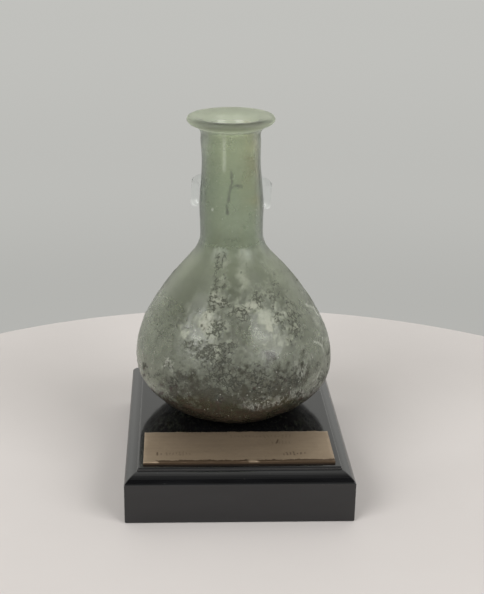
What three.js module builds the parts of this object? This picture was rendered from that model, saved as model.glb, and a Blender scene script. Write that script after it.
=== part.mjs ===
// Ancient free-blown glass perfume flask on its black lacquered display plinth.
// Millimetres, +Z up. The origin is the centre of the plinth's underside, and the front faces -Y.

import * as THREE from 'three';
import { mergeVertices } from 'three/addons/utils/BufferGeometryUtils.js';

// ---- Driving dimensions ------------------------------------------------------------------------

const PLINTH = {
  width: 80,
  depth: 95,
  faceHeight: 15, // the plain upright face
  ovoloInset: 4.5, // how far the moulding steps in, up to the raised panel
  ovoloRise: 3.1,
  ovoloBow: 20, // degrees by which the moulding's arc turns away from its chord at each end
  ovoloSteps: 8,
  panelRise: 1.1, // the panel's little upright fillet
  edgeEase: 0.35, // eased arrises on the panel and on the underside
};

const PLATE = {
  width: 67,
  depth: 22.6,
  thickness: 1,
  bevel: 0.3,
  frontMargin: 2.4, // from the panel's front edge
};

const FLASK = {
  axisY: 8.2, // the flask stands behind the plinth's middle, so that the plate has room
  height: 112.4,
  kick: 1.2, // the shallow hollow pushed up into the underside
  baseRadius: 17.5,
  wall: 1.9,
  baseWall: 3,
  lean: -0.018, // sideways drift of the axis for each millimetre of height
  segments: 44,
};

// Radius and height of the blown body, from the foot of its curved side to the top of the neck.
const BODY_STATIONS = [
  [22.4, 2.2],
  [30.2, 7.6],
  [35.4, 14],
  [36.7, 21.5],
  [35.4, 29.5],
  [32.3, 37.2],
  [27.6, 45],
  [22.3, 52.2],
  [17.4, 58],
  [13.6, 62.4],
  [11.6, 67],
  [11.5, 73],
  [11.7, 80.5],
  [11.1, 89],
  [10.6, 98],
  [10.8, 107],
];

// Radius and drop below the top of the everted lip, from under its edge, round and over into the mouth.
const LIP_STATIONS = [
  [13.1, 3.3],
  [14.9, 2.5],
  [15.7, 1.4],
  [15.2, 0.3],
  [14.0, 0],
  [12.0, 0.5],
  [10.1, 1.5],
  [8.9, 3.6],
];

// Lopsidedness of the hand-blown body: a lobe that turns round the axis, strongest low down.
const LOBE = { low: 0.026, high: 0.006, fadeHeight: 20, oval: 0.008, turn: 0.6 };

const CLIP = {
  height: 84, // of its middle, above the panel
  tall: 8.6,
  innerRadius: 12.3,
  outerRadius: 14.6,
  wrap: 212, // degrees of the neck that it holds, open to the front
  tilt: 2.5, // degrees, left side up
  bevel: 0.4,
  curveSteps: 12,
};

const PANEL_Z = PLINTH.faceHeight + PLINTH.ovoloRise + PLINTH.panelRise;
const PANEL_FRONT_Y = -PLINTH.depth / 2 + PLINTH.ovoloInset;

// ---- Materials ---------------------------------------------------------------------------------

const agedGlass = new THREE.MeshStandardMaterial({
  color: 0x8fa48c,
  roughness: 0.35,
  metalness: 0,
  transparent: true,
  opacity: 0.6,
});
const blackLacquer = new THREE.MeshStandardMaterial({ color: 0x0d0d0f, roughness: 0.12, metalness: 0 });
const dullBrass = new THREE.MeshStandardMaterial({ color: 0x8a7350, roughness: 0.45, metalness: 1 });
const clearAcrylic = new THREE.MeshStandardMaterial({
  color: 0xf4f8f6,
  roughness: 0.05,
  metalness: 0,
  transparent: true,
  opacity: 0.3,
});

// ---- Geometry helpers --------------------------------------------------------------------------

// A rectangular slab whose edge follows a profile of [inset, height] points, from the underside up.
function mouldedSlab(width, depth, profile) {
  const positions = [];
  const index = [];
  const corners = [[-1, -1], [1, -1], [1, 1], [-1, 1]];
  for (const [inset, z] of profile) {
    for (const [sx, sy] of corners) {
      positions.push(sx * (width / 2 - inset), sy * (depth / 2 - inset), z);
    }
  }
  for (let ring = 0; ring < profile.length - 1; ring += 1) {
    for (let side = 0; side < 4; side += 1) {
      const a = ring * 4 + side;
      const b = ring * 4 + (side + 1) % 4;
      index.push(a, b, b + 4, a, b + 4, a + 4);
    }
  }
  const top = (profile.length - 1) * 4;
  index.push(0, 2, 1, 0, 3, 2);
  index.push(top, top + 1, top + 2, top, top + 2, top + 3);
  const geometry = new THREE.BufferGeometry();
  geometry.setAttribute('position', new THREE.Float32BufferAttribute(positions, 3));
  geometry.setIndex(index);
  geometry.computeVertexNormals();
  return geometry;
}

// Points of the circular arc from one point to another that turns by `bow` degrees at each end.
function arcBetween(from, to, bow, steps) {
  const start = new THREE.Vector2(...from);
  const chord = new THREE.Vector2(...to).sub(start);
  const half = THREE.MathUtils.degToRad(bow);
  const radius = chord.length() / (2 * Math.sin(half));
  const outward = new THREE.Vector2(-chord.y, chord.x).normalize();
  const centre = start.clone().addScaledVector(chord, 0.5).addScaledVector(outward, -radius * Math.cos(half));
  const points = [];
  for (let i = 0; i <= steps; i += 1) {
    const turn = half * (1 - (2 * i) / steps);
    const spoke = outward.clone().rotateAround(new THREE.Vector2(), turn);
    points.push(centre.clone().addScaledVector(spoke, radius).toArray());
  }
  return points;
}

function splinePoints(stations, perSpan) {
  const curve = new THREE.SplineCurve(stations.map(([r, z]) => new THREE.Vector2(r, z)));
  return curve.getPoints((stations.length - 1) * perSpan);
}

// Moves each point of an outline inwards, square to it, by the wall's thickness.
function offsetInwards(points, wall) {
  return points.map((point, i) => {
    const before = points[Math.max(i - 1, 0)];
    const after = points[Math.min(i + 1, points.length - 1)];
    const along = after.clone().sub(before).normalize();
    return new THREE.Vector2(point.x - along.y * wall, point.y + along.x * wall);
  });
}

// ---- Plinth ------------------------------------------------------------------------------------

function makePlinth() {
  const { width, depth, faceHeight, ovoloInset, ovoloRise, ovoloBow, ovoloSteps, edgeEase } = PLINTH;
  const ovoloTop = faceHeight + ovoloRise;
  const profile = [
    [edgeEase, 0],
    [0, edgeEase],
    ...arcBetween([0, faceHeight], [ovoloInset, ovoloTop], ovoloBow, ovoloSteps),
    [ovoloInset, PANEL_Z - edgeEase],
    [ovoloInset + edgeEase, PANEL_Z],
  ];
  const plinth = new THREE.Mesh(mouldedSlab(width, depth, profile), blackLacquer);
  plinth.name = 'plinth';
  return plinth;
}

// ---- Plate -------------------------------------------------------------------------------------

function makePlate() {
  const { width, depth, thickness, bevel, frontMargin } = PLATE;
  const profile = [
    [0, 0],
    [0, thickness - bevel],
    [bevel, thickness],
  ];
  const plate = new THREE.Mesh(mouldedSlab(width, depth, profile), dullBrass);
  plate.name = 'plate';
  plate.position.set(0, PANEL_FRONT_Y + frontMargin + depth / 2, PANEL_Z);
  return plate;
}

// ---- Flask -------------------------------------------------------------------------------------

function flaskOutline() {
  const { height, kick, baseRadius, wall, baseWall } = FLASK;
  const underside = [new THREE.Vector2(0, kick), new THREE.Vector2(baseRadius * 0.6, kick * 0.7)];
  const side = splinePoints([[baseRadius, 0], ...BODY_STATIONS], 2);
  const lip = LIP_STATIONS.map(([r, drop]) => new THREE.Vector2(r, height - drop));
  const boreTop = lip[lip.length - 1].y - wall;
  const bore = offsetInwards(side, wall)
    .filter((point, i) => i % 2 === 0 && point.y > kick + baseWall && point.y < boreTop)
    .reverse();
  const floor = new THREE.Vector2(0, kick + baseWall);
  const floorEdge = new THREE.Vector2(baseRadius * 0.8, kick + baseWall * 0.9);
  return [...underside, ...side, ...lip, ...bore, floorEdge, floor];
}

// Turns the true surface of revolution into a hand-blown one: lopsided, slightly oval and leaning.
function handBlow(geometry) {
  const position = geometry.attributes.position;
  for (let i = 0; i < position.count; i += 1) {
    const x = position.getX(i);
    const y = position.getY(i);
    const z = position.getZ(i);
    const angle = Math.atan2(y, x);
    const fade = Math.exp(-((z / LOBE.fadeHeight) ** 2));
    const lobe = (LOBE.high + (LOBE.low - LOBE.high) * fade) * Math.cos(angle - LOBE.turn * fade);
    const oval = LOBE.oval * Math.cos(2 * (angle - LOBE.turn));
    const swell = 1 + lobe + oval;
    position.setXYZ(i, x * swell + FLASK.lean * z, y * swell, z);
  }
}

function makeFlask() {
  let geometry = new THREE.LatheGeometry(flaskOutline(), FLASK.segments);
  geometry.rotateX(Math.PI / 2); // the lathe turns about Y, and the flask stands along Z
  geometry.deleteAttribute('normal');
  geometry.deleteAttribute('uv');
  geometry = mergeVertices(geometry);
  handBlow(geometry);
  geometry.computeVertexNormals();
  const flask = new THREE.Mesh(geometry, agedGlass);
  flask.name = 'flask';
  flask.position.set(0, FLASK.axisY, PANEL_Z);
  return flask;
}

// ---- Neck clip ---------------------------------------------------------------------------------

// A springy C of clear acrylic round the back of the neck, with its mouth to the front.
function makeNeckClip() {
  const { height, tall, innerRadius, outerRadius, wrap, tilt, bevel, curveSteps } = CLIP;
  const middle = Math.PI / 2; // straight back, along +Y
  const half = THREE.MathUtils.degToRad(wrap) / 2;
  const thickness = outerRadius - innerRadius - 2 * bevel;
  const midRadius = (outerRadius + innerRadius) / 2;
  const outline = new THREE.Shape();
  const end = middle + half;
  outline.absarc(0, 0, outerRadius - bevel, middle - half, end, false);
  outline.absarc(midRadius * Math.cos(end), midRadius * Math.sin(end), thickness / 2, end, end + Math.PI, false);
  outline.absarc(0, 0, innerRadius + bevel, end, middle - half, true);
  const start = middle - half;
  outline.absarc(
    midRadius * Math.cos(start), midRadius * Math.sin(start), thickness / 2, start + Math.PI, start + 2 * Math.PI, false,
  );
  const geometry = new THREE.ExtrudeGeometry(outline, {
    depth: tall - 2 * bevel,
    bevelEnabled: true,
    bevelThickness: bevel,
    bevelSize: bevel,
    bevelSegments: 1,
    curveSegments: curveSteps,
  });
  geometry.translate(0, 0, bevel - tall / 2);
  const clip = new THREE.Mesh(geometry, clearAcrylic);
  clip.name = 'neck_clip';
  clip.position.set(FLASK.lean * height, FLASK.axisY, PANEL_Z + height);
  clip.rotation.y = THREE.MathUtils.degToRad(tilt);
  return clip;
}

// ---- The whole object --------------------------------------------------------------------------

const perfumeFlask = new THREE.Group();
perfumeFlask.add(makePlinth(), makePlate(), makeFlask(), makeNeckClip());

export default perfumeFlask;
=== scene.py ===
"""An ancient hand-blown glass perfume flask on its black lacquered plinth, with a dull brass plate."""

import math

import bmesh
import bpy
import numpy as np
from bpy.props import FloatProperty, FloatVectorProperty, IntProperty, PointerProperty
from mathutils import Matrix, Vector, noise


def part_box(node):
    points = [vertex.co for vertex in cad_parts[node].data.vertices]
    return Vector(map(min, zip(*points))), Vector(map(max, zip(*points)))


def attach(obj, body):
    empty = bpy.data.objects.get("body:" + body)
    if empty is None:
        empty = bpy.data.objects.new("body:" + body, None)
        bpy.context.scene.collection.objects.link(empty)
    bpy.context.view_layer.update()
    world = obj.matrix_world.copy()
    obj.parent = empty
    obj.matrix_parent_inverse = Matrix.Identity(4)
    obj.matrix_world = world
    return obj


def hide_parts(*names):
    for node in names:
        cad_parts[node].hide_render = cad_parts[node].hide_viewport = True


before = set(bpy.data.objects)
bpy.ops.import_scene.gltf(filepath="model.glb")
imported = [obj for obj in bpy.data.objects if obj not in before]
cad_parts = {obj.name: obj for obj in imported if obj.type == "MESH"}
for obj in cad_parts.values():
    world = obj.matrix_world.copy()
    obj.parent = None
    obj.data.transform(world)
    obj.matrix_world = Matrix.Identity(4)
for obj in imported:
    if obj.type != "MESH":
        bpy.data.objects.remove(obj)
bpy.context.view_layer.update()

bl_info = {
    "name": "Perfume flask maker",
    "version": (1, 0, 0),
    "blender": (4, 5, 0),
    "location": "View3D > Sidebar > Flask",
    "description": "Builds a weathered glass flask, its plinth, plate and neck clip, and a plain studio",
    "category": "Object",
}

MM = 0.001


# ---- Sizes and colours that a user would change ----


class FlaskSettings(bpy.types.PropertyGroup):
    round_steps: IntProperty(
        name="Steps round", description="Faces round the outside of the glass", default=360, min=48)
    row_step: FloatProperty(
        name="Row step", description="Height of the outside's faces", default=0.78 * MM, unit="LENGTH")
    bore_step: FloatProperty(
        name="Bore step", description="Height of the inside's faces", default=1.6 * MM, unit="LENGTH")
    swell_depth: FloatProperty(
        name="Unevenness", description="Slow unevenness of the blown wall", default=0.22 * MM,
        unit="LENGTH")
    film_depth: FloatProperty(
        name="Film thickness", description="Thickness of the weathering film where it still clings",
        default=0.09 * MM, unit="LENGTH")
    pit_depth: FloatProperty(
        name="Pit depth", description="Depth of the corroded pits", default=0.22 * MM, unit="LENGTH")
    glass: FloatVectorProperty(
        name="Body glass", description="Tint of the grey-green glass of the body", subtype="COLOR", size=3,
        default=(0.665, 0.715, 0.565))
    neck: FloatVectorProperty(
        name="Neck glass", description="Tint of the yellow-green glass near the mouth", subtype="COLOR",
        size=3, default=(0.70, 0.755, 0.60))
    low_neck: FloatVectorProperty(
        name="Neck foot glass", description="Tint of the grey-green glass low on the neck", subtype="COLOR",
        size=3, default=(0.565, 0.63, 0.54))
    olive: FloatVectorProperty(
        name="Neck stain", description="Tint of the browner glass right of the neck", subtype="COLOR",
        size=3, default=(0.62, 0.59, 0.42))
    # Colour of the milky film, which also paints the softboxes' highlights on the front patches and the
    # pale rims along the pits.
    milk_and_highlight: FloatVectorProperty(
        name="Milky film", description="Colour of the pale film", subtype="COLOR", size=3,
        default=(0.315, 0.32, 0.25))
    pit: FloatVectorProperty(
        name="Pits", description="Colour inside the pits", subtype="COLOR", size=3,
        default=(0.022, 0.024, 0.014))
    stain: FloatVectorProperty(
        name="Stain", description="Colour of the stain low on the body", subtype="COLOR", size=3,
        default=(0.042, 0.041, 0.025))
    crust: FloatVectorProperty(
        name="Crust", description="Colour of the brown crust at the foot", subtype="COLOR", size=3,
        default=(0.040, 0.029, 0.020))


class PlinthSettings(bpy.types.PropertyGroup):
    arris: FloatProperty(
        name="Arris", description="Radius of the eased edges", default=0.3 * MM, unit="LENGTH")
    rub_width: FloatProperty(
        name="Rubbed width", description="How far in from an edge the lacquer is rubbed", default=0.5 * MM,
        unit="LENGTH")
    lacquer: FloatVectorProperty(
        name="Lacquer", description="Colour of the lacquer", subtype="COLOR", size=3,
        default=(0.0035, 0.0035, 0.004))
    rubbed: FloatVectorProperty(
        name="Rubbed edges", description="Colour where the edges are rubbed", subtype="COLOR", size=3,
        default=(0.055, 0.045, 0.038))


class PlateSettings(bpy.types.PropertyGroup):
    cell: FloatProperty(
        name="Grid cell", description="Size of the faces that carry the strokes", default=0.3 * MM,
        unit="LENGTH")
    stroke_depth: FloatProperty(
        name="Stroke depth", description="Depth of the worn strokes", default=0.07 * MM, unit="LENGTH")
    brass: FloatVectorProperty(
        name="Brass", description="Colour of the dulled brass", subtype="COLOR", size=3,
        default=(0.37, 0.285, 0.20))
    tarnish: FloatVectorProperty(
        name="Tarnish", description="Colour of the tarnish", subtype="COLOR", size=3,
        default=(0.075, 0.046, 0.026))


class ClipSettings(bpy.types.PropertyGroup):
    tall: FloatProperty(
        name="Height", description="Height of the clip's band", default=8.6 * MM, unit="LENGTH")
    thickness: FloatProperty(
        name="Thickness", description="Thickness of the clip's band", default=2.3 * MM, unit="LENGTH")
    arris: FloatProperty(
        name="Arris", description="Radius of the polished edges", default=0.6 * MM, unit="LENGTH")
    wrap: FloatProperty(
        name="Wrap", description="Degrees of the neck that the clip holds", default=212)
    tilt: FloatProperty(
        name="Tilt", description="Degrees by which the clip sits askew", default=2.5)
    round_steps: IntProperty(
        name="Steps round", description="Faces along the clip", default=96, min=24)
    bending: FloatProperty(
        name="Refraction", description="Index of refraction of the thin acrylic", default=1.03)
    acrylic: FloatVectorProperty(
        name="Acrylic", description="Tint of the clear acrylic", subtype="COLOR", size=3,
        default=(0.95, 0.97, 0.96))


class StudioSettings(bpy.types.PropertyGroup):
    table: FloatVectorProperty(
        name="Table", description="Colour of the round table", subtype="COLOR", size=3,
        default=(0.665, 0.625, 0.605))
    backdrop: FloatVectorProperty(
        name="Backdrop", description="Colour of the light round the object", subtype="COLOR", size=3,
        default=(1.0, 1.0, 0.955))
    brightness: FloatProperty(
        name="Brightness", description="Strength of the light round the object", default=1.06)
    left_light: FloatProperty(
        name="Left light", description="Power of the soft light at the front left, in watts", default=56)
    right_light: FloatProperty(
        name="Right light", description="Power of the soft light at the front right, in watts", default=50)
    light_distance: FloatProperty(
        name="Light distance", description="How far off the two soft lights stand", default=3.0,
        unit="LENGTH")
    table_radius: FloatProperty(
        name="Table radius", description="Radius of the round table", default=0.2245, unit="LENGTH")
    table_back: FloatProperty(
        name="Table behind", description="How far the table reaches behind the plinth's middle",
        default=0.155, unit="LENGTH")
    lens: FloatProperty(
        name="Lens", description="Focal length on a 36 mm frame, in millimetres", default=69.2)


# ---- Mesh helpers ----


def hand_over(piece, node):
    """Lets a finished piece stand for a CAD node."""
    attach(piece, "root")
    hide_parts(node)


def piece_from(name, points, faces, smooth=True):
    mesh = bpy.data.meshes.new(name)
    mesh.from_pydata([tuple(p) for p in points], [], faces)
    bm = bmesh.new()
    bm.from_mesh(mesh)
    bmesh.ops.recalc_face_normals(bm, faces=bm.faces)
    bm.to_mesh(mesh)
    bm.free()
    mesh.polygons.foreach_set("use_smooth", [smooth] * len(mesh.polygons))
    mesh.update()
    piece = bpy.data.objects.new(name, mesh)
    bpy.context.scene.collection.objects.link(piece)
    return piece


def soften(piece, radius, segments, angle):
    """Eases the arrises of a piece and keeps its flats flat."""
    bevel = piece.modifiers.new("arris", "BEVEL")
    bevel.width = radius
    bevel.segments = segments
    bevel.limit_method = "ANGLE"
    bevel.angle_limit = math.radians(angle)
    bevel.harden_normals = True
    apply_modifiers(piece)


def apply_modifiers(piece):
    graph = bpy.context.evaluated_depsgraph_get()
    mesh = bpy.data.meshes.new_from_object(piece.evaluated_get(graph))
    piece.modifiers.clear()
    piece.data = mesh


def ring_faces(first, rings, count):
    """Faces between closed rings of count points each, which follow one another from the first point."""
    return [
        (start + k, start + (k + 1) % count, start + count + (k + 1) % count, start + count + k)
        for start in range(first, first + (rings - 1) * count, count)
        for k in range(count)
    ]


def tube_faces(rings, count):
    """Faces of a closed tube: its rings, with a flat end on the first and on the last."""
    last = (rings - 1) * count
    ends = [tuple(reversed(range(count))), tuple(range(last, last + count))]
    return ring_faces(0, rings, count) + ends


def clamp01(value):
    return min(max(value, 0.0), 1.0)


def ramp01(value, low, high):
    """0 below low, 1 above high and a smooth step between."""
    t = clamp01((value - low) / (high - low))
    return t * t * (3.0 - 2.0 * t)


def bell(value, middle, spread):
    """1 at the middle, falling off smoothly to both sides."""
    return math.exp(-(((value - middle) / spread) ** 2))


# ---- Shader helpers ----


def shade(colour, factor):
    """A colour made darker or lighter."""
    return [channel * factor for channel in colour]


class Finish:
    """One material's nodes, with a short call for each kind of step."""

    def __init__(self, name):
        self.material = bpy.data.materials.new(name)
        self.material.use_nodes = True
        self.tree = self.material.node_tree
        self.tree.nodes.clear()
        self.surface = self.add("ShaderNodeBsdfPrincipled")
        output = self.add("ShaderNodeOutputMaterial")
        self.tree.links.new(self.surface.outputs[0], output.inputs["Surface"])
        self.place = self.add("ShaderNodeTexCoord").outputs["Object"]

    def add(self, kind, **inputs):
        node = self.tree.nodes.new(kind)
        for key, value in inputs.items():
            self.give(node.inputs[key.replace("_", " ")], value)
        return node

    def give(self, socket, value):
        if isinstance(value, bpy.types.NodeSocket):
            self.tree.links.new(value, socket)
        elif socket.type == "RGBA":
            socket.default_value = (*value, 1.0)
        else:
            socket.default_value = value

    def set(self, name, value):
        self.give(self.surface.inputs[name], value)

    def noise(self, scale, detail=3.0, roughness=0.5, stretch=None):
        place = self.place
        if stretch:
            mapping = self.add("ShaderNodeMapping", Vector=place, Scale=stretch)
            place = mapping.outputs[0]
        return self.add(
            "ShaderNodeTexNoise", Vector=place, Scale=scale, Detail=detail, Roughness=roughness).outputs[0]

    def cells(self, scale):
        """Distance to the nearest of many scattered points, and a colour that differs from cell to cell."""
        node = self.add("ShaderNodeTexVoronoi", Vector=self.place, Scale=scale)
        return node.outputs["Distance"], node.outputs["Color"]

    def axes(self):
        """The x, y and z of the place."""
        return self.add("ShaderNodeSeparateXYZ", Vector=self.place).outputs

    def attribute(self, name):
        node = self.add("ShaderNodeAttribute")
        node.attribute_name = name
        return node.outputs["Fac"]

    def ramp(self, value, low, high, to_low=0.0, to_high=1.0):
        node = self.add(
            "ShaderNodeMapRange", Value=value, From_Min=low, From_Max=high, To_Min=to_low, To_Max=to_high)
        node.interpolation_type = "SMOOTHSTEP"
        return node.outputs[0]

    def maths(self, operation, a, b=0.0):
        node = self.add("ShaderNodeMath")
        node.operation = operation
        self.give(node.inputs[0], a)
        self.give(node.inputs[1], b)
        return node.outputs[0]

    def plus(self, a, b):
        return self.maths("ADD", a, b)

    def minus(self, a, b):
        return self.maths("SUBTRACT", a, b)

    def most(self, a, b):
        return self.maths("MAXIMUM", a, b)

    def times(self, *factors):
        """The product of all the factors, joined from the last one back."""
        product = factors[-1]
        for factor in reversed(factors[:-1]):
            product = self.maths("MULTIPLY", factor, product)
        return product

    def lines(self, texture):
        """Distance of a noise from its middle value, which is small along thin winding lines."""
        return self.maths("ABSOLUTE", self.minus(texture, 0.5))

    def mix(self, factor, a, b):
        node = self.add("ShaderNodeMix")
        node.data_type = "RGBA"
        self.give(node.inputs["Factor"], factor)
        self.give(node.inputs[6], a)
        self.give(node.inputs[7], b)
        return node.outputs[2]

    def coat(self, colour, *layers):
        """A colour under layers, each of which is a cover from 0 to 1 and a colour."""
        for cover, tint in layers:
            colour = self.mix(cover, colour, tint)
        return colour

    def bump(self, height, strength, distance):
        node = self.add("ShaderNodeBump", Height=height, Strength=strength, Distance=distance)
        self.set("Normal", node.outputs[0])


# ---- Flask ----


MERGE_DISTANCE = 0.001 * MM
POLE_EDGES = 12  # a point with at least this many edges is one where the rings close up
LIP_SHARE = 0.033  # the lip's height, as a share of the flask's
LIP_ROWS = 26
INSIDE = -1.0  # what the film field says on the inside, where there is none


def walk_rings(node):
    """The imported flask's rings of points, from the middle of its underside round to its floor's middle.

    Each ring starts at the point nearest to the front and goes round anticlockwise. The points are
    given as complex numbers x + iy, and the heights as one for each ring.
    """
    bm = bmesh.new()
    bm.from_mesh(node.data)
    bmesh.ops.remove_doubles(bm, verts=bm.verts, dist=MERGE_DISTANCE)
    poles = [v for v in bm.verts if len(v.link_edges) >= POLE_EDGES]
    start = min(poles, key=lambda v: v.co.z)
    seen, ring, rings = {start}, [start], []
    while ring:
        rings.append([v.co.copy() for v in ring])
        after = {e.other_vert(v) for v in ring for e in v.link_edges} - seen
        seen |= after
        ring = sorted(after, key=lambda v: v.index)
    bm.free()
    count = max(len(r) for r in rings)
    turns, heights = [], []
    for points in rings:
        flat = np.array([complex(p.x, p.y) for p in points])
        if len(points) == 1:
            flat = np.repeat(flat, count)
        else:
            flat = flat[np.argsort(np.angle((flat - flat.mean()) * 1j))]
            front = np.argmin(np.abs(np.angle((flat - flat.mean()) * 1j)))
            flat = np.roll(flat, -front)
        turns.append(flat)
        heights.append(points[0].z)
    return np.array(turns), np.array(heights)


def resample_round(rings, count):
    """Smooth points round each ring, as many as asked."""
    old = rings.shape[1]
    half = old // 2
    waves = np.fft.fft(rings, axis=1)
    full = np.zeros((rings.shape[0], count), dtype=complex)
    full[:, :half] = waves[:, :half]
    full[:, -half:] = waves[:, -half:]
    return np.fft.ifft(full, axis=1) * (count / old)


def along_profile(values, at, wanted):
    """A smooth cubic through values, one row for each place in at, read at the wanted places."""
    gaps = np.diff(at)
    slopes = np.diff(values, axis=0) / gaps[:, None]
    tangents = np.empty_like(values)
    tangents[0], tangents[-1] = slopes[0], slopes[-1]
    weight = (gaps[1:] / (gaps[:-1] + gaps[1:]))[:, None]
    tangents[1:-1] = weight * slopes[:-1] + (1 - weight) * slopes[1:]
    span = np.clip(np.searchsorted(at, wanted, side="right") - 1, 0, len(gaps) - 1)
    gap = gaps[span]
    t = ((wanted - at[span]) / gap)[:, None]
    gap = gap[:, None]
    return (
        (2 * t**3 - 3 * t**2 + 1) * values[span]
        + (t**3 - 2 * t**2 + t) * gap * tangents[span]
        + (3 * t**2 - 2 * t**3) * values[span + 1]
        + (t**3 - t**2) * gap * tangents[span + 1]
    )


def dense_rows(rings, heights, at, wanted, count):
    """Points of the flask's wall at the wanted places along its outline: rows by count by 3."""
    flat = along_profile(resample_round(rings, count), at, wanted)
    up = along_profile(heights[:, None], at, wanted)
    return np.stack([flat.real, flat.imag, np.broadcast_to(up, flat.shape).real], axis=-1)


def grid_normals(rows):
    """Outward directions at the points of a grid of rows."""
    round_way = np.roll(rows, -1, axis=1) - np.roll(rows, 1, axis=1)
    up_way = np.gradient(rows, axis=0)
    normals = np.cross(round_way, up_way)
    return normals / np.maximum(np.linalg.norm(normals, axis=2, keepdims=True), 1e-12)


# Broad areas of weathering: degrees round from the front to the right, share of the flask's height,
# spread in degrees, spread in height and strength. The milky patches on the front also paint in the two
# softboxes' highlights.
MILKY_AND_HIGHLIGHT_PATCHES = (
    (-23, 0.410, 7, 0.034, 0.75),
    (-37, 0.358, 6, 0.024, 0.75),
    (12, 0.434, 6, 0.024, 0.55),
    (23, 0.392, 7, 0.030, 0.75),
    (27, 0.356, 6, 0.024, 0.75),
    (22, 0.328, 15, 0.014, 0.50),
    (27, 0.580, 15, 0.012, 0.35),
    (0, 0.490, 18, 0.060, 0.34),
    (115, 0.380, 20, 0.070, 0.7),
    (165, 0.300, 25, 0.070, 0.8),
    (-140, 0.420, 22, 0.080, 0.7),
    (-100, 0.240, 16, 0.060, 0.6),
)
PITTED_PATCHES = (
    (-24, 0.550, 9, 0.040, 0.9),
    (-18, 0.470, 8, 0.070, 1.0),
    (-13, 0.380, 8, 0.070, 1.0),
    (-10, 0.280, 10, 0.080, 0.8),
    (47, 0.440, 9, 0.060, 0.9),
    (40, 0.370, 9, 0.050, 1.0),
    (20, 0.465, 9, 0.030, 0.7),
    (6, 0.420, 6, 0.030, 0.5),
    (-27, 0.322, 11, 0.020, 0.9),
    (5, 0.240, 16, 0.040, 0.9),
    (25, 0.210, 18, 0.040, 0.8),
    (-40, 0.220, 14, 0.060, 0.6),
    (60, 0.180, 16, 0.060, 0.6),
    (100, 0.360, 16, 0.140, 0.7),
    (150, 0.420, 14, 0.120, 0.9),
    (-165, 0.280, 30, 0.100, 0.8),
    (-110, 0.420, 14, 0.120, 0.7),
)
FROSTED_PATCHES = (
    (43, 0.250, 8, 0.055, 1.0),
    (54, 0.180, 10, 0.050, 0.7),
    (-43, 0.245, 6, 0.030, 1.2),
    (22, 0.150, 24, 0.030, 0.7),
    (72, 0.340, 6, 0.040, 0.6),
    (130, 0.240, 14, 0.060, 0.7),
    (-120, 0.200, 16, 0.050, 0.7),
)

# Marks, as degrees and shares of the height: a dark crack with a short dash in the neck, a bright bubble
# below them and a bright streak above them that is a painted highlight of the left softbox, and pale cracks
# at the right edge of the body.
NECK_CRACK = (
    (-11, 0.842), (-9, 0.815), (-11, 0.794), (-14, 0.775), (-14, 0.752), (-18, 0.735), (-16, 0.708),
)
NECK_DASH = ((-12, 0.792), (-3, 0.796), (9, 0.793))
NECK_BUBBLE = ((-43, 0.716), (-42, 0.718))
NECK_HIGHLIGHT = ((-25, 0.970), (-24, 0.900), (-24, 0.845))
PALE_CRACKS = (
    ((70, 0.392), (76, 0.376), (82, 0.360), (79, 0.345), (84, 0.330)),
    ((56, 0.296), (62, 0.280), (65, 0.262), (69, 0.284)),
    ((65, 0.262), (66, 0.236)),
)


def patch_strength(patches, turn, share):
    """How strongly a set of patches covers a place, from 0 up."""
    total = 0.0
    for at, height, wide, tall, strength in patches:
        off = (turn - at + 180.0) % 360.0 - 180.0
        total += strength * math.exp(-((off / wide) ** 2) - ((share - height) / tall) ** 2)
    return total


def line_distance(turn, share, line, radius, tall):
    """Distance in metres along the glass from a place to a drawn line."""
    here = Vector((math.radians(turn) * radius, share * tall))
    nearest = 1.0
    for (turn_a, share_a), (turn_b, share_b) in zip(line, line[1:]):
        a = Vector((math.radians(turn_a) * radius, share_a * tall))
        b = Vector((math.radians(turn_b) * radius, share_b * tall))
        along = clamp01((here - a).dot(b - a) / (b - a).length_squared)
        nearest = min(nearest, (here - a - along * (b - a)).length)
    return nearest


def weathering_at(place, turn, share):
    """Milky film, which on the front patches also paints the softboxes' highlights, pitting, brown stain,
    crust and frosting at a place on the glass, each from 0 to 1.
    """
    p = place / MM
    on_body = 1.0 - ramp01(share, 0.56, 0.62)
    slow = noise.fractal(p * 0.085, 0.7, 2.0, 4)
    mid = noise.fractal(p * 0.22 + Vector((4, 9, 2)), 0.7, 2.0, 4)
    fine = noise.fractal(p * 0.55 + Vector((7, 3, 1)), 0.6, 2.1, 4)
    smooth_side = bell(turn, -64.0, 26.0) * ramp01(share, 0.18, 0.30)
    # The front milky patches are partly painted highlights of the two softboxes.
    patches = patch_strength(MILKY_AND_HIGHLIGHT_PATCHES, turn, share)
    milk_and_highlight = patches * (0.7 + 0.6 * mid + 0.6 * fine) + 0.22 + 0.20 * mid + 0.12 * slow
    pitted = 0.10 + patch_strength(PITTED_PATCHES, turn, share) + 0.30 * slow + 0.35 * mid
    pitted = clamp01(pitted * (1.0 - 0.70 * smooth_side)) * on_body
    milk_and_highlight += 0.30 * pitted
    milk_and_highlight = clamp01(milk_and_highlight * (1.0 - 0.45 * smooth_side)) * (0.10 + 0.90 * on_body)
    stain = 1.0 - ramp01(share + 0.05 * slow + 0.05 * mid + 0.05 * fine, 0.12, 0.42)
    stain *= 1.0 - 0.72 * bell(turn, -70.0, 30.0) - 0.6 * bell(turn, 68.0, 27.0)
    crust = ramp01(0.62 * (1.0 - ramp01(share, 0.08, 0.24)) + 0.55 * fine + 0.45 * mid, 0.38, 0.85)
    crust *= 1.0 - ramp01(share, 0.25, 0.45)
    frost = clamp01(patch_strength(FROSTED_PATCHES, turn, share) * (0.8 + 1.2 * mid + 0.8 * fine))
    return milk_and_highlight, pitted, stain, crust, frost


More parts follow.
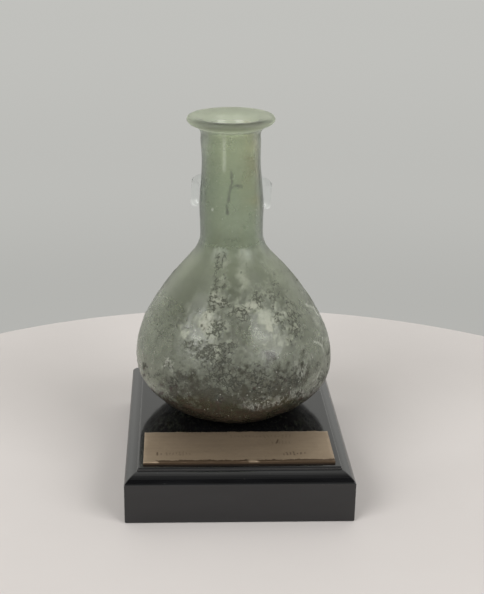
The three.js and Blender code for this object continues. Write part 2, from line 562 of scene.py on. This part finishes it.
def mark_at(turn, share, radius, tall):
    """A drawn mark at a place on the glass: up to 1 where it is dark and down to -1 where it is bright; the
    streak on the neck is a painted highlight.
    """

    def off(line):
        return line_distance(turn, share, line, radius, tall) / MM

    mark = 0.0
    if 0.65 < share < 0.87 and abs(turn) < 60:
        wander = 0.5 * noise.noise(Vector((turn * 0.25, share * 130, 0)))
        gaps = 0.6 + 0.4 * noise.noise(Vector((3.0, share * 60, 1)))
        crack = gaps * (1.0 - ramp01(off(NECK_CRACK) + wander, 0.0, 0.95))
        mark = max(crack, 0.75 * (1.0 - ramp01(off(NECK_DASH) + wander, 0.0, 0.8)))
        mark -= 1.0 - ramp01(off(NECK_BUBBLE), 0.1, 0.6)
    # Painted highlight: the bright streak that the left softbox throws on the neck.
    if 0.83 < share < 0.975 and -45 < turn < -5:
        mark -= 0.4 * (1.0 - ramp01(off(NECK_HIGHLIGHT), 0.0, 1.3))
    if 0.22 < share < 0.40 and 50 < turn < 90:
        mark -= 0.95 * (1.0 - ramp01(min(off(line) for line in PALE_CRACKS), 0.0, 0.8))
    return mark


FIELDS = ("milk_and_highlight", "pitted", "stain", "crust", "frost", "mark")


def relief_at(place, turn, settings, milk_and_highlight, pitted, crust, on_neck):
    """How far the glass stands out at a place, from its blown shape, its film and crust, and its pits."""
    p = place / MM
    slow = noise.fractal(p * 0.07 + Vector((0, 0, 5)), 0.8, 2.0, 3)
    ribs = noise.noise(Vector((turn * 0.10, 2.0, p.z * 0.03)))
    flakes = ramp01(noise.fractal(p * 0.30 + Vector((2, 8, 6)), 0.6, 2.2, 4), -0.12, 0.14)
    walls = ramp01(abs(noise.fractal(p * 0.40 + Vector((1, 5, 3)), 0.8, 2.0, 2)), 0.02, 0.14)
    lift = settings.swell_depth * (slow + 0.35 * ribs)
    lift += settings.film_depth * (flakes * (0.35 + milk_and_highlight) * (1.0 - on_neck) + 1.5 * crust)
    return lift - settings.pit_depth * pitted * (1.0 - walls)


def weather(outside, axis, tall, settings):
    """The outside's points with their relief, and the weathering at each of them by field."""
    normals = grid_normals(outside)
    moved = outside.copy()
    rows, count, _ = outside.shape
    fields = np.zeros((len(FIELDS), rows, count))
    for row in range(rows):
        share = (outside[row, 0, 2] - axis.z) / tall
        radius = math.hypot(outside[row, 0, 0] - axis.x, outside[row, 0, 1] - axis.y)
        on_side = ramp01(radius, 17 * MM, 22 * MM) if share < 0.03 else 1.0
        calm = 1.0 - 0.8 * ramp01(share, 0.945, 0.970)
        on_neck = ramp01(share, 0.55, 0.62)
        for step in range(count):
            place = Vector(outside[row, step]) - axis
            turn = math.degrees(math.atan2(place.x, -place.y))
            milk_and_highlight, pitted, stain, crust, frost = weathering_at(place, turn, share)
            lift = relief_at(place, turn, settings, milk_and_highlight, pitted, crust, on_neck)
            mark = mark_at(turn, share, radius, tall)
            moved[row, step] += normals[row, step] * lift * on_side * calm
            fields[:, row, step] = milk_and_highlight, pitted, stain, crust, frost, mark
    moved[:, :, 2] = np.clip(moved[:, :, 2], axis.z, axis.z + tall)
    return moved, fields


def shell_faces(rows, count, bore_rows):
    """Faces of the closed shell: underside, outside, the step to half as many points, bore and floor."""
    half = count // 2
    last, first = 1 + (rows - 1) * count, 1 + rows * count
    floor = first + (bore_rows - 1) * half
    faces = [(0, 1 + k, 1 + (k + 1) % count) for k in range(count)]
    faces += ring_faces(1, rows, count)
    for k in range(half):
        a, b, c = last + 2 * k, last + 2 * k + 1, last + (2 * k + 2) % count
        faces += [(a, b, first + k), (b, c, first + (k + 1) % half, first + k)]
    faces += ring_faces(first, bore_rows, half)
    faces += [(floor + k, floor + (k + 1) % half, floor + half) for k in range(half)]
    return faces


def make_glass_shell(settings):
    """The flask's wall, with the weathering kept as a value for each field at each point."""
    rings, heights = walk_rings(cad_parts["flask"])
    radii = np.abs(rings - rings.mean(axis=1, keepdims=True)).mean(axis=1)
    at = np.concatenate([[0.0], np.cumsum(np.hypot(np.diff(radii), np.diff(heights)))])
    top, base = heights.max(), heights.min()
    tall = top - base
    lip = np.flatnonzero(heights > top - LIP_SHARE * tall)
    lip_start, lip_end = at[lip[0]], at[lip[-1]]
    outer_places = np.arange(settings.row_step, lip_start, settings.row_step)
    lip_places = np.linspace(lip_start, lip_end, LIP_ROWS)
    step = settings.bore_step
    bore_places = np.arange(lip_end + step, at[-1] - step / 2, step)
    count = settings.round_steps
    outside = dense_rows(rings, heights, at, np.concatenate([outer_places, lip_places]), count)
    bore = dense_rows(rings, heights, at, bore_places, count // 2)
    axis = Vector((rings[0].mean().real, rings[0].mean().imag, base))
    moved, fields = weather(outside, axis, tall, settings)
    points = [Vector(outside[0].mean(axis=0))]
    points += [Vector(p) for p in moved.reshape(-1, 3)]
    points += [Vector(p) for p in bore.reshape(-1, 3)]
    points.append(Vector((bore[-1, :, 0].mean(), bore[-1, :, 1].mean(), heights[-1])))
    shell = piece_from("flask_glass", points, shell_faces(len(moved), count, len(bore)))
    for name, field in zip(FIELDS, fields):
        values = np.full(len(points), INSIDE if name == "milk_and_highlight" else 0.0, dtype=np.float32)
        values[0] = 0.0
        values[1:1 + field.size] = field.reshape(-1)
        shell.data.attributes.new(name, "FLOAT", "POINT").data.foreach_set("value", values)
    return shell


# Pale tone of the frosting, which also paints the glints and the neck's highlight streak.
FROST_AND_HIGHLIGHT_TONE = (0.46, 0.47, 0.41)


def weathered_glass(settings):
    f = Finish("weathered_glass")
    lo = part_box("flask")[0]
    across, _, height = f.axes()

    def up(low, high, *to):
        """A ramp between two heights in millimetres above the flask's foot."""
        return f.ramp(height, lo.z + low * MM, lo.z + high * MM, *to)

    def right(low, high, *to):
        """A ramp between two places in millimetres to the right of the flask's left edge."""
        return f.ramp(across, lo.x + low * MM, lo.x + high * MM, *to)

    milk_and_highlight, pitted, stain, crust, frost, mark = [f.attribute(name) for name in FIELDS]
    cloud = f.noise(150, 6, 0.62)
    grain = f.noise(1300, 4, 0.65)
    mottle = f.noise(330, 5, 0.68)

    worm = f.lines(f.noise(430, 4, 0.62))
    lace = f.ramp(f.noise(210, 3, 0.6), 0.41, 0.56)
    # Painted highlight: a pale rim along the worm pits, coloured like the milky film.
    border = f.times(f.ramp(worm, 0.18, 0.10), lace, f.ramp(pitted, 0.15, 0.80))
    worm = f.times(f.ramp(worm, 0.070, 0.020), lace)
    spots = f.times(f.ramp(f.cells(540)[0], 0.42, 0.16), f.ramp(f.noise(260, 3, 0.7), 0.48, 0.60, 0.0, 0.8))
    dark = f.times(f.most(worm, spots), f.ramp(pitted, 0.08, 0.65))
    grime = f.times(f.ramp(mottle, 0.58, 0.42), f.ramp(pitted, 0.10, 0.90))
    scratch = f.lines(f.noise(520, 4, 0.7, stretch=(1.0, 1.0, 0.45)))
    frosted = f.most(f.ramp(scratch, 0.06, 0.01), f.ramp(mottle, 0.46, 0.66, 0.0, 0.45))
    frosted = f.times(frosted, f.ramp(frost, 0.10, 0.75))
    # Bright flecks: white specks in the glass, and painted glints on the pits' edges.
    small, chance = f.cells(950)
    chosen = f.ramp(f.add("ShaderNodeSeparateColor", Color=chance).outputs[0], 0.82, 0.86)
    fleck_and_glint = f.times(f.ramp(small, 0.26, 0.12), chosen)
    fleck_and_glint = f.times(fleck_and_glint, f.ramp(f.plus(pitted, stain), 0.15, 1.2))
    # Milky film, which on the front patches is also a painted highlight of the softboxes.
    film = f.times(f.ramp(milk_and_highlight, 0.02, 1.05), f.ramp(cloud, 0.32, 0.64, 0.55, 1.0))
    film = f.times(film, f.ramp(stain, 0.0, 0.9, 1.0, 0.15))
    film = f.times(film, up(50, 60, 1.0, 0.55))
    stained = f.times(stain, f.ramp(cloud, 0.36, 0.62, 1.0, 0.70))
    stained = f.times(stained, f.ramp(mottle, 0.40, 0.62, 1.0, 0.72))
    # Pale marks: frosting, bubbles and pale cracks, with the painted highlights of the glints and the neck
    # streak.
    bright = f.most(fleck_and_glint, f.times(f.ramp(mark, 0.0, -1.0), 0.8))
    bright = f.most(bright, f.times(frosted, 0.70))

    neck = up(58, 68)
    streak = f.noise(260, 3, 0.6, stretch=(1.0, 1.0, 0.05))
    olive = f.times(right(36, 44), f.ramp(cloud, 0.35, 0.6))
    facing = f.add("ShaderNodeLayerWeight", Blend=0.5).outputs["Facing"]
    throat = f.coat(
        f.mix(up(74, 104), settings.low_neck, settings.neck),
        (f.ramp(streak, 0.38, 0.68, 0.0, 0.8), shade(settings.neck, 0.86)),
        # Painted shade on the neck's left side.
        (right(33, 27, 0.0, 0.55), shade(settings.low_neck, 0.72)),
        (f.times(olive, up(76, 84, 0.0, 0.9)), settings.olive),
        # Painted shade: the neck grows darker towards its edges as seen from the camera.
        (f.ramp(facing, 0.32, 0.72), shade(settings.low_neck, 0.52)),
    )
    body = f.mix(f.ramp(cloud, 0.35, 0.65), settings.glass, shade(settings.glass, 0.90))
    f.set("Base Color", f.coat(
        f.mix(neck, body, throat),
        (film, settings.milk_and_highlight),
        (f.ramp(stained, 0.0, 0.65), settings.stain),
        (f.times(grime, 0.32), settings.stain),
        (f.times(border, 0.25), settings.milk_and_highlight),
        (f.ramp(crust, 0.0, 0.8), settings.crust),
        (f.ramp(dark, 0.0, 0.9, 0.0, 0.80), settings.pit),
        (f.ramp(mark, 0.0, 0.7, 0.0, 0.80), settings.pit),
        (bright, FROST_AND_HIGHLIGHT_TONE),
    ))

    solid = f.times(film, f.ramp(milk_and_highlight, 0.15, 0.9, 0.30, 0.85))
    for layer, opacity in ((stained, 0.95), (crust, 0.85), (dark, 0.60), (bright, 0.90)):
        solid = f.most(solid, f.times(layer, opacity))
    solid = f.most(solid, f.ramp(mark, 0.1, 1.0, 0.0, 0.4))
    f.set("Transmission Weight", f.minus(0.96, solid))
    rough = f.plus(f.ramp(milk_and_highlight, 0.0, 0.8, 0.18, 0.36), f.times(grain, 0.14))
    shoulder = f.times(up(46, 56), f.minus(1.0, neck))
    rough = f.plus(rough, f.times(shoulder, 0.22))
    f.set("Roughness", f.plus(rough, f.times(dark, 0.35)))
    f.set("IOR", 1.5)
    relief = f.minus(f.times(grain, 0.25), f.times(dark, 0.9))
    relief = f.plus(relief, f.times(film, 0.5))
    f.bump(relief, 0.8, 0.22 * MM)
    return f.material


def clear_green_glass(settings):
    f = Finish("clear_green_glass")
    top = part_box("flask")[1].z
    haze = f.noise(180, 4, 0.6)
    f.set("Base Color", f.mix(f.ramp(haze, 0.3, 0.7), settings.neck, shade(settings.neck, 0.93)))
    f.set("Transmission Weight", 1.0)
    lip = f.ramp(f.axes()[2], top - 5 * MM, top - 3 * MM, 0.0, 0.30)
    f.set("Roughness", f.plus(f.ramp(haze, 0.3, 0.75, 0.18, 0.30), lip))
    f.set("IOR", 1.5)
    f.bump(f.noise(500, 3), 0.15, 0.1 * MM)
    return f.material


class FLASK_OT_make_flask(bpy.types.Operator):
    """Blows the glass flask, with its pits, film and crust"""

    bl_idname = "flask.make_flask"
    bl_label = "Make flask"

    def execute(self, context):
        settings = context.scene.flask_settings
        shell = make_glass_shell(settings)
        shell.data.materials.append(weathered_glass(settings))
        shell.data.materials.append(clear_green_glass(settings))
        heights = [v.co.z for v in shell.data.vertices]
        top = max(heights)
        lip = top - LIP_SHARE * (top - min(heights))
        film = shell.data.attributes["milk_and_highlight"].data
        for face in shell.data.polygons:
            inside = all(film[v].value < 0.0 for v in face.vertices)
            if inside or face.center.z > lip:
                face.material_index = 1
        hand_over(shell, "flask")
        return {"FINISHED"}


# ---- Plinth ----


LEVEL_STEP = 0.01 * MM  # points whose heights differ by less belong to one level
DUST_TONE = (0.22, 0.21, 0.19)


def node_rings(node):
    """A CAD slab's middle, and for each of its heights how far it reaches in x and in y from there."""
    lo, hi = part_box(node)
    middle = (lo + hi) / 2
    levels = {}
    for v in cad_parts[node].data.vertices:
        reach = (abs(v.co.x - middle.x), abs(v.co.y - middle.y), v.co.z)
        levels.setdefault(round(v.co.z / LEVEL_STEP), []).append(reach)
    return middle, [max(levels[k]) for k in sorted(levels)]


def slab(name, node):
    """A closed slab with the CAD node's own edge profile."""
    middle, levels = node_rings(node)
    corners = ((-1, -1), (1, -1), (1, 1), (-1, 1))
    points = [(middle.x + sx * x, middle.y + sy * y, z) for x, y, z in levels for sx, sy in corners]
    return piece_from(name, points, tube_faces(len(levels), len(corners)), smooth=False)


def face_width(face):
    """How wide a long face is."""
    return face.calc_area() / max(edge.calc_length() for edge in face.edges)


def mark_arrises(block, width):
    """Gives each point an arris value: 1 on an eased edge, and 0 from a rubbed width inside a flat face."""
    bm = bmesh.new()
    bm.from_mesh(block.data)
    bmesh.ops.remove_doubles(bm, verts=bm.verts, dist=MERGE_DISTANCE)
    bmesh.ops.dissolve_degenerate(bm, edges=bm.edges, dist=MERGE_DISTANCE)
    flats = [face for face in bm.faces if face_width(face) > 3 * width]
    edge_points = {v for face in bm.faces if face_width(face) < 0.6 * width for v in face.verts}
    bmesh.ops.inset_individual(bm, faces=flats, thickness=width)
    layer = bm.verts.layers.float.new("arris")
    for v in bm.verts:
        v[layer] = 1.0 if v in edge_points else 0.0
    bm.to_mesh(block.data)
    bm.free()


def black_lacquer(settings):
    f = Finish("black_lacquer")
    wear = f.noise(240, 5, 0.7)
    streak = f.noise(60, 4, 0.6, stretch=(1.0, 6.0, 6.0))
    dust = f.times(f.ramp(f.cells(900)[0], 0.13, 0.05), f.ramp(f.noise(300, 2), 0.60, 0.66))
    edge = f.times(f.attribute("arris"), f.ramp(wear, 0.42, 0.62))
    f.set("Base Color", f.coat(
        settings.lacquer,
        (f.ramp(streak, 0.35, 0.7), shade(settings.lacquer, 1.5)),
        (f.times(edge, 0.7), settings.rubbed),
        (f.times(dust, 0.35), DUST_TONE),
    ))
    rough = f.ramp(streak, 0.3, 0.75, 0.07, 0.13)
    f.set("Roughness", f.plus(rough, f.times(f.most(edge, dust), 0.3)))
    f.set("IOR", 1.63)
    f.bump(f.noise(90, 3, 0.5), 0.05, 0.3 * MM)
    return f.material


class FLASK_OT_make_plinth(bpy.types.Operator):
    """Makes the moulded block under black lacquer"""

    bl_idname = "flask.make_plinth"
    bl_label = "Make plinth"

    def execute(self, context):
        settings = context.scene.plinth_settings
        block = slab("plinth_block", "plinth")
        soften(block, settings.arris, segments=3, angle=25)
        mark_arrises(block, settings.rub_width)
        block.data.materials.append(black_lacquer(settings))
        hand_over(block, "plinth")
        return {"FINISHED"}


# ---- Plate ----

# Rows of worn strokes on the plate: share of its depth from the front, first and last share of its width,
# how many strokes and how deep they are.
STROKE_ROWS = (
    (0.26, 0.06, 0.10, 2, 1.0),
    (0.27, 0.11, 0.25, 8, 0.45),
    (0.24, 0.73, 0.84, 6, 1.0),
    (0.27, 0.845, 0.86, 1, 1.0),
    (0.66, 0.705, 0.73, 1, 1.0),
    (0.60, 0.68, 0.79, 6, 0.35),
    (0.83, 0.46, 0.80, 17, 0.30),
)
PLATE_BEVEL = 0.3 * MM
PLATE_WAVER = 0.05 * MM  # how much the worn sides wander


def stroke_mask(x, y):
    """How deep a worn stroke lies at a place given in shares of the plate, from 0 to 1."""
    deepest = 0.0
    for row, (level, first, last, strokes, depth) in enumerate(STROKE_ROWS):
        if not first <= x <= last or abs(y - level) > 0.10:
            continue
        place = (x - first) / (last - first) * strokes
        number = math.floor(place)
        lean = 0.9 * noise.noise(Vector((number * 1.7, row * 3.1, 0.5)))
        length = 0.05 + 0.045 * noise.noise(Vector((number * 2.3, row * 1.9, 4.5)))
        drop = 0.03 * noise.noise(Vector((number * 0.9, row * 2.7, 8.5)))
        across = abs(place - number - 0.5 - lean * (y - level) / 0.08)
        inside = ramp01(0.24 - across, 0.0, 0.14) * ramp01(length - abs(y - level - drop), 0.0, 0.02)
        deepest = max(deepest, depth * inside)
    return deepest


def outward(value, low, high):
    """1 near the high end of a span, -1 near the low end and 0 between."""
    return (value > high - 2 * PLATE_BEVEL) - (value < low + 2 * PLATE_BEVEL)


def make_plate_slab(settings):
    """A thin slab whose top is a grid that carries the strokes, over a bevel and wavering sides."""
    lo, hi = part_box("plate")
    size = hi - lo
    bevel = PLATE_BEVEL
    columns, rows = round(size.x / settings.cell), round(size.y / settings.cell)
    points, faces, marks = [], [], []
    for j in range(rows + 1):
        for i in range(columns + 1):
            x, y = i / columns, j / rows
            px, py = lo.x + bevel + x * (size.x - 2 * bevel), lo.y + bevel + y * (size.y - 2 * bevel)
            nick = noise.fractal(Vector((px, py, 0)) / MM * 0.35, 0.7, 2.0, 3)
            edge = min(px - lo.x, hi.x - px, py - lo.y, hi.y - py) / MM
            worn = (1.0 - ramp01(edge, 0.3, 1.1)) * max(0.0, 0.10 + 0.16 * nick)
            stroke = stroke_mask(x, y)
            dent = 0.015 * (1.0 + nick)
            points.append((px, py, hi.z - max(0.0, worn + dent) * MM - settings.stroke_depth * stroke))
            marks.append(stroke)
    wide = columns + 1
    for j in range(rows):
        for a in range(j * wide, j * wide + columns):
            faces.append((a, a + 1, a + 1 + wide, a + wide))
    border = list(range(wide))
    border += [j * wide + columns for j in range(1, rows + 1)]
    border += [rows * wide + i for i in range(columns - 1, -1, -1)]
    border += [j * wide for j in range(rows - 1, 0, -1)]
    count = len(border)
    grid = len(points)
    for level in (hi.z - bevel, lo.z):
        for index in border:
            px, py, _ = points[index]
            out = Vector((outward(px, lo.x, hi.x), outward(py, lo.y, hi.y), 0))
            waver = PLATE_WAVER * noise.noise(Vector((px, py, 3)) / MM * 0.6)
            place = Vector((px, py, level)) + bevel * out
            points.append(place + out.normalized() * min(0.0, waver - PLATE_WAVER))
            marks.append(0.0)
    faces += [(border[k], grid + k, grid + (k + 1) % count, border[(k + 1) % count]) for k in range(count)]
    faces += ring_faces(grid, 2, count)
    faces.append(tuple(range(grid + count, grid + 2 * count)))
    plate = piece_from("brass_plate", points, faces)
    values = np.array(marks, dtype=np.float32)
    plate.data.attributes.new("stroke", "FLOAT", "POINT").data.foreach_set("value", values)
    plate.data.set_sharp_from_angle(angle=math.radians(35))
    return plate


def dull_brass(settings):
    f = Finish("dull_brass")
    lo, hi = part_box("plate")
    _, depth, height = f.axes()
    cloud = f.noise(70, 5, 0.6)
    brushed = f.noise(900, 3, 0.6, stretch=(0.04, 1.0, 1.0))
    spots = f.ramp(f.noise(600, 3, 0.7), 0.66, 0.74)
    # Darker on the plate's sides and along a ragged strip at its front edge.
    side = f.ramp(height, hi.z - 0.25 * MM, hi.z - 0.45 * MM)
    ragged = f.times(f.noise(150, 4, 0.7), 4.5 * MM)
    front = f.ramp(f.minus(depth, ragged), lo.y - 0.7 * MM, lo.y - 0.9 * MM)
    side = f.most(side, f.times(front, f.ramp(f.noise(75, 3), 0.60, 0.54)))
    f.set("Base Color", f.coat(
        settings.brass,
        (f.ramp(cloud, 0.35, 0.7), shade(settings.brass, 0.82)),
        (f.ramp(brushed, 0.3, 0.8, 0.0, 0.25), shade(settings.brass, 1.25)),
        (f.times(spots, 0.4), settings.tarnish),
        (f.times(f.attribute("stroke"), 0.8), settings.tarnish),
        (f.times(side, 0.9), settings.tarnish),
    ))
    f.set("Metallic", 0.75)
    f.set("Roughness", f.plus(f.ramp(cloud, 0.3, 0.7, 0.42, 0.55), f.times(brushed, 0.08)))
    f.bump(brushed, 0.12, 0.05 * MM)
    return f.material


class FLASK_OT_make_plate(bpy.types.Operator):
    """Makes the thin brass plate with its worn strokes"""

    bl_idname = "flask.make_plate"
    bl_label = "Make plate"

    def execute(self, context):
        settings = context.scene.plate_settings
        plate = make_plate_slab(settings)
        plate.data.materials.append(dull_brass(settings))
        hand_over(plate, "plate")
        return {"FINISHED"}


# ---- Neck clip ----


HAZE_TONE = (0.97, 0.985, 0.985)
CLIP_GAP = 0.02 * MM  # between the clip and the CAD clip's outer side
CAP_TURN = math.radians(18)  # each step round the rounded ends
CAP_TAPER = 0.12  # how much lower the band gets at its very ends


def clip_section(settings):
    """Half widths and half heights round the clip's rounded section, starting outside."""
    tall, thick = settings.tall / 2, settings.thickness / 2
    points = []
    for cx, cz, first in ((1, 1, 0), (-1, 1, 90), (-1, -1, 180), (1, -1, 270)):
        for step in range(4):
            turn = math.radians(first + 30 * step)
            x = cx * (thick - settings.arris) + settings.arris * math.cos(turn)
            z = cz * (tall - settings.arris) + settings.arris * math.sin(turn)
            points.append((x, z))
    return points


def make_clip_shell(settings):
    """A springy C, swept round the neck from end to end with its ends rounded over."""
    lo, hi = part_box("neck_clip")
    tilt = math.radians(settings.tilt)
    half_wrap = math.radians(settings.wrap) / 2
    outer = (hi.x - lo.x) / 2 - settings.tall / 2 * math.sin(tilt)
    middle = Vector(((lo.x + hi.x) / 2, hi.y - outer, (lo.z + hi.z) / 2))
    radius = outer - settings.thickness / 2 - CLIP_GAP
    cap = settings.thickness / 2 / radius
    steps = settings.round_steps
    ends = [(half_wrap + cap * math.cos(CAP_TURN * k), math.sin(CAP_TURN * k)) for k in range(1, 5)]
    stations = [(-turn, share) for turn, share in ends]
    stations += [(-half_wrap + 2 * half_wrap * k / steps, 1.0) for k in range(steps + 1)]
    stations += reversed(ends)
    section = clip_section(settings)
    turn_over = Matrix.Rotation(tilt, 3, "Y")
    points = []
    for turn, share in stations:
        spoke = Vector((math.sin(turn), math.cos(turn), 0))
        for x, z in section:
            place = spoke * (radius + x * share) + Vector((0, 0, z - (1 - share) * CAP_TAPER * z))
            points.append(middle + turn_over @ place)
    clip = piece_from("clear_clip", points, tube_faces(len(stations), len(section)))
    clip.data.set_sharp_from_angle(angle=math.radians(40))
    return clip


def clear_acrylic(settings):
    f = Finish("clear_acrylic")
    haze = f.noise(400, 3, 0.5)
    scratch = f.noise(900, 2, 0.6, stretch=(1.0, 1.0, 0.1))
    f.set("Base Color", f.mix(f.ramp(haze, 0.3, 0.7, 0.0, 0.5), settings.acrylic, HAZE_TONE))
    f.set("Transmission Weight", 1.0)
    f.set("Roughness", f.ramp(scratch, 0.45, 0.8, 0.12, 0.30))
    f.set("IOR", settings.bending)
    f.bump(scratch, 0.05, 0.05 * MM)
    return f.material


class FLASK_OT_make_clip(bpy.types.Operator):
    """Makes the clear acrylic clip round the neck"""

    bl_idname = "flask.make_clip"
    bl_label = "Make neck clip"

    def execute(self, context):
        settings = context.scene.clip_settings
        clip = make_clip_shell(settings)
        clip.data.materials.append(clear_acrylic(settings))
        hand_over(clip, "neck_clip")
        return {"FINISHED"}


# ---- Studio ----


def table_finish(settings):
    f = Finish("table_paint")
    tone = f.noise(9, 4, 0.6)
    f.set("Base Color", f.mix(f.ramp(tone, 0.3, 0.7), settings.table, shade(settings.table, 0.97)))
    f.set("Roughness", f.ramp(tone, 0.3, 0.7, 0.75, 0.85))
    return f.material


TABLE_STEPS = 256
TABLE_THICK = 12 * MM
TABLE_EASE = 2 * MM  # how far its upper edge is rounded
TABLE_SIDE = 3.8 * MM  # how far its middle lies to the right
AIM_HEIGHT = 0.05
SOFTBOX_SIZE = 1.9
SOFTBOX_RISE = math.radians(33)
LEFT_TURN, RIGHT_TURN = math.radians(-46), math.radians(50)
CAMERA_SIDE, CAMERA_FORWARD, CAMERA_HEIGHT = -0.0215, 0.3430, 0.2166  # forward of the plinth's front
CAMERA_PITCH, CAMERA_YAW = math.radians(20.39), math.radians(0.96)
CAMERA_SHIFT = (0.08, -0.0236)
FRAME_WIDTH = 36


def make_table(settings):
    """A round table top with an eased edge."""
    radius = settings.table_radius
    centre = Vector((TABLE_SIDE, settings.table_back - radius, 0))
    profile = (
        (radius - TABLE_EASE, 0.0),
        (radius - 0.3 * TABLE_EASE, -0.3 * TABLE_EASE),
        (radius, -TABLE_EASE),
        (radius, -TABLE_THICK),
    )
    points = []
    for r, z in profile:
        for k in range(TABLE_STEPS):
            turn = math.tau * k / TABLE_STEPS
            points.append((centre.x + r * math.cos(turn), centre.y + r * math.sin(turn), z))
    table = piece_from("studio_table", points, tube_faces(len(profile), TABLE_STEPS), smooth=False)
    table.data.materials.append(table_finish(settings))


def make_softbox(name, turn, distance, power):
    """A large square soft light, turned by so much to the right of the front."""
    light = bpy.data.lights.new(name, "AREA")
    light.shape = "SQUARE"
    light.size = SOFTBOX_SIZE
    light.energy = power
    aim = Vector((0, 0, AIM_HEIGHT))
    flat = math.cos(SOFTBOX_RISE)
    away = Vector((math.sin(turn) * flat, -math.cos(turn) * flat, math.sin(SOFTBOX_RISE)))
    lamp = bpy.data.objects.new(name, light)
    lamp.location = aim + distance * away
    lamp.rotation_euler = (-away).to_track_quat("-Z", "Y").to_euler()
    bpy.context.scene.collection.objects.link(lamp)


# Brightness of the surround, as the sine of the height above the horizon and a tone from 0 to 1.
BACK_TONES = (
    (-0.36, 0.43), (-0.26, 0.475), (-0.13, 0.50), (0.02, 0.60), (0.15, 0.77), (0.70, 0.72), (1.0, 0.66),
)
FRONT_TONES = (
    (-0.36, 0.46), (-0.13, 0.50), (0.08, 0.55), (0.45, 0.60), (0.68, 0.20), (0.76, 0.03), (0.92, 0.03),
    (1.0, 0.22),
)


def make_surround(settings):
    """A plain studio of soft light, as tones by height: bright overhead at the back, dim at the front."""
    world = bpy.data.worlds.new("studio_surround")
    bpy.context.scene.world = world
    world.use_nodes = True
    tree = world.node_tree
    tree.nodes.clear()

    def link(source, socket):
        tree.links.new(source, socket)

    def share(socket, low, high):
        span = tree.nodes.new("ShaderNodeMapRange")
        span.inputs["From Min"].default_value = low
        span.inputs["From Max"].default_value = high
        link(socket, span.inputs[0])
        return span.outputs[0]

    def tones(socket, stops):
        node = tree.nodes.new("ShaderNodeValToRGB")
        node.color_ramp.interpolation = "EASE"
        link(share(socket, -1.0, 1.0), node.inputs[0])
        while len(node.color_ramp.elements) < len(stops):
            node.color_ramp.elements.new(0.5)
        for element, (place, tone) in zip(node.color_ramp.elements, stops):
            element.position = place / 2 + 0.5
            element.color = (tone, tone, tone, 1.0)
        return node.outputs[0]

    def mixed(blend, factor, a, b):
        node = tree.nodes.new("ShaderNodeMix")
        node.data_type = "RGBA"
        node.blend_type = blend
        for socket, value in ((node.inputs["Factor"], factor), (node.inputs[6], a), (node.inputs[7], b)):
            if isinstance(value, bpy.types.NodeSocket):
                link(value, socket)
            else:
                socket.default_value = value
        return node.outputs[2]

    towards = tree.nodes.new("ShaderNodeSeparateXYZ")
    link(tree.nodes.new("ShaderNodeTexCoord").outputs["Generated"], towards.inputs[0])
    at_back = tones(towards.outputs[2], BACK_TONES)
    at_front = tones(towards.outputs[2], FRONT_TONES)
    grey = mixed("MIX", share(towards.outputs[1], -0.05, 0.22), at_front, at_back)
    background = tree.nodes.new("ShaderNodeBackground")
    link(mixed("MULTIPLY", 1.0, grey, (*settings.backdrop, 1.0)), background.inputs[0])
    background.inputs[1].default_value = settings.brightness
    link(background.outputs[0], tree.nodes.new("ShaderNodeOutputWorld").inputs[0])


def make_camera(settings):
    camera = bpy.data.cameras.new("camera")
    camera.lens = settings.lens
    camera.sensor_width = FRAME_WIDTH
    camera.shift_x, camera.shift_y = CAMERA_SHIFT
    viewer = bpy.data.objects.new("camera", camera)
    viewer.location = Vector((CAMERA_SIDE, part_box("plinth")[0].y - CAMERA_FORWARD, CAMERA_HEIGHT))
    viewer.rotation_euler = (math.pi / 2 - CAMERA_PITCH, 0, -CAMERA_YAW)
    bpy.context.scene.collection.objects.link(viewer)
    bpy.context.scene.camera = viewer


class FLASK_OT_make_studio(bpy.types.Operator):
    """Sets the table, the soft light and the camera"""

    bl_idname = "flask.make_studio"
    bl_label = "Make studio"

    def execute(self, context):
        settings = context.scene.studio_settings
        context.scene.view_settings.view_transform = "Standard"
        make_table(settings)
        make_surround(settings)
        make_softbox("left_softbox", LEFT_TURN, settings.light_distance, settings.left_light)
        make_softbox("right_softbox", RIGHT_TURN, settings.light_distance, settings.right_light)
        make_camera(settings)
        return {"FINISHED"}


class FLASK_PT_panel(bpy.types.Panel):
    """Lists the makers of the flask's pieces"""

    bl_idname = "FLASK_PT_panel"
    bl_label = "Perfume flask"
    bl_space_type = "VIEW_3D"
    bl_region_type = "UI"
    bl_category = "Flask"

    def draw(self, context):
        for piece in ("plinth", "plate", "flask", "clip", "studio"):
            owner = getattr(context.scene, f"{piece}_settings")
            box = self.layout.box()
            for name in owner.__annotations__:
                box.prop(owner, name)
            box.operator(f"flask.make_{piece}")


SETTINGS = {
    "flask_settings": FlaskSettings,
    "plinth_settings": PlinthSettings,
    "plate_settings": PlateSettings,
    "clip_settings": ClipSettings,
    "studio_settings": StudioSettings,
}
OPERATORS = (
    FLASK_OT_make_plinth,
    FLASK_OT_make_plate,
    FLASK_OT_make_flask,
    FLASK_OT_make_clip,
    FLASK_OT_make_studio,
)


def register():
    for name, group in SETTINGS.items():
        bpy.utils.register_class(group)
        setattr(bpy.types.Scene, name, PointerProperty(type=group))
    for operator in (*OPERATORS, FLASK_PT_panel):
        bpy.utils.register_class(operator)


def unregister():
    for operator in reversed((*OPERATORS, FLASK_PT_panel)):
        bpy.utils.unregister_class(operator)
    for name, group in reversed(SETTINGS.items()):
        delattr(bpy.types.Scene, name)
        bpy.utils.unregister_class(group)


def main():
    register()
    bpy.ops.flask.make_plinth()
    bpy.ops.flask.make_plate()
    bpy.ops.flask.make_flask()
    bpy.ops.flask.make_clip()
    bpy.ops.flask.make_studio()
    bpy.context.view_layer.update()


if __name__ == "__main__":
    main()
